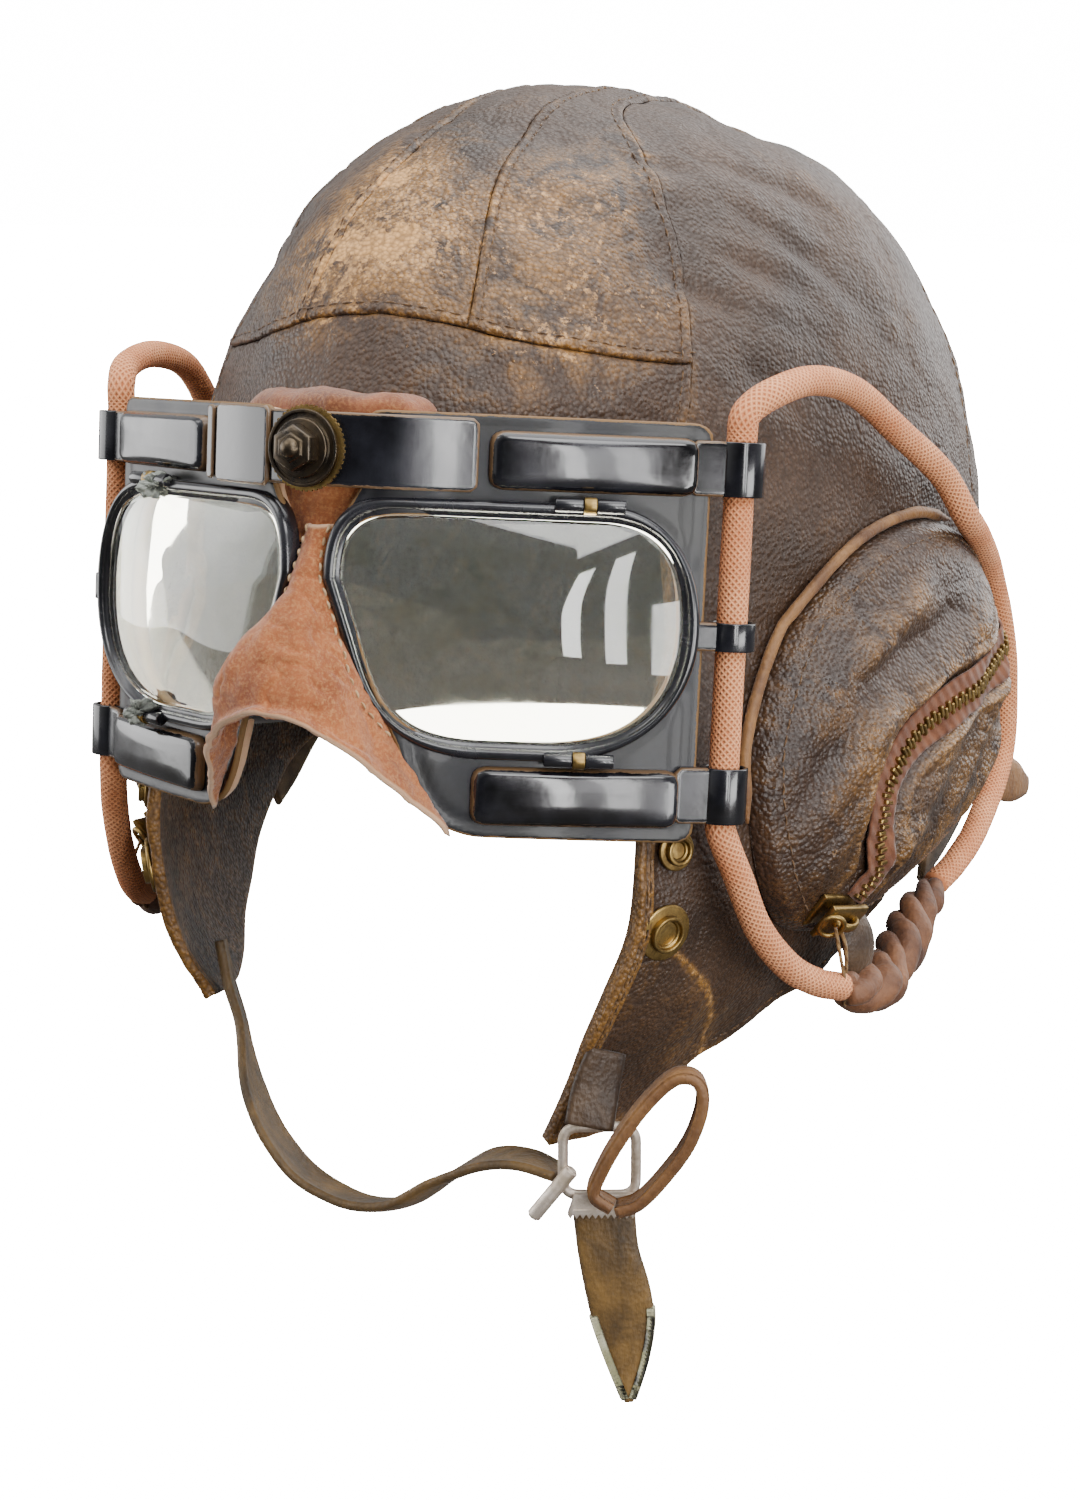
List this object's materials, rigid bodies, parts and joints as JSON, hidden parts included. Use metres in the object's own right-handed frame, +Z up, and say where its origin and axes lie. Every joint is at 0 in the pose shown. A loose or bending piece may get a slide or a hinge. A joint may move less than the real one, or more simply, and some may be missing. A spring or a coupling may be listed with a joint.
{
  "type": "flying cap with goggles",
  "caption": "Close-fitting leather flying cap with strip crown, zipped ear pockets, cheek flaps and buckled chin strap, worn with framed goggles on looped cords",
  "frame": {"origin": "inside top of the crown, where the wearer's head touches it", "axes": "+Z up, -Y to the wearer's front, +X to the wearer's left"},
  "size_m": [0.2054, 0.2467, 0.2646],
  "materials": {
    "cap_leather": "worn dark brown leather, pebbled, soft sheen",
    "tan_leather": "worn tan leather",
    "pad_leather": "salmon suede",
    "wrap_leather": "red-brown leather lashing",
    "cord_cotton": "braided cotton",
    "strap_webbing": "olive-brown webbing",
    "black_enamel": "gloss black enamel, chipped at the edges",
    "dark_steel": "darkened steel",
    "brass": "aged brass",
    "nickel": "worn nickel plate",
    "zip_cotton": "red-brown zip tape",
    "lens_glass": "clear"
  },
  "bodies": {
    "root": {"goggle_plate_left": "black_enamel", "face_pad_left": "pad_leather", "lens_rim_left": "dark_steel", "lens_left": "lens_glass", "plate_panel_upper_left": "black_enamel", "plate_panel_lower_left": "black_enamel", "goggle_plate_right": "black_enamel", "face_pad_right": "pad_leather", "lens_rim_right": "dark_steel", "lens_right": "lens_glass", "plate_panel_upper_right": "black_enamel", "plate_panel_lower_right": "black_enamel", "bridge_bar": "black_enamel", "bridge_washer": "brass", "bridge_nut": "dark_steel", "nose_piece": "pad_leather", "brow_pad": "pad_leather", "cord_clamp_top_left": "black_enamel", "cord_clamp_top_right": "black_enamel", "cord_clamp_middle_left": "black_enamel", "cord_clamp_middle_right": "black_enamel", "cord_clamp_bottom_left": "black_enamel", "cord_clamp_bottom_right": "black_enamel", "crown_center_strip": "cap_leather", "brow_band": "cap_leather", "crown_strip_left": "cap_leather", "side_panel_left": "cap_leather", "back_panel_left": "cap_leather", "crown_strip_right": "cap_leather", "side_panel_right": "cap_leather", "back_panel_right": "cap_leather", "ear_pocket_left": "cap_leather", "pocket_piping_left": "tan_leather", "ear_pocket_right": "cap_leather", "pocket_piping_right": "tan_leather", "goggle_cord_left": "cord_cotton", "cord_wrap_left": "wrap_leather", "goggle_cord_right": "cord_cotton", "cord_wrap_right": "wrap_leather", "goggle_strap": "strap_webbing", "chin_strap": "strap_webbing", "strap_tail": "strap_webbing", "chin_buckle": "nickel", "buckle_clamp": "nickel", "strap_keeper": "tan_leather", "buckle_tab": "cap_leather", "press_stud_upper_left": "brass", "press_stud_upper_right": "brass", "press_stud_lower_left": "brass", "press_stud_lower_right": "brass", "rear_tab": "tan_leather", "zip_tape_left": "zip_cotton", "zip_slider_left": "brass", "zip_tape_right": "zip_cotton", "zip_slider_right": "brass"}
  },
  "joints": []
}
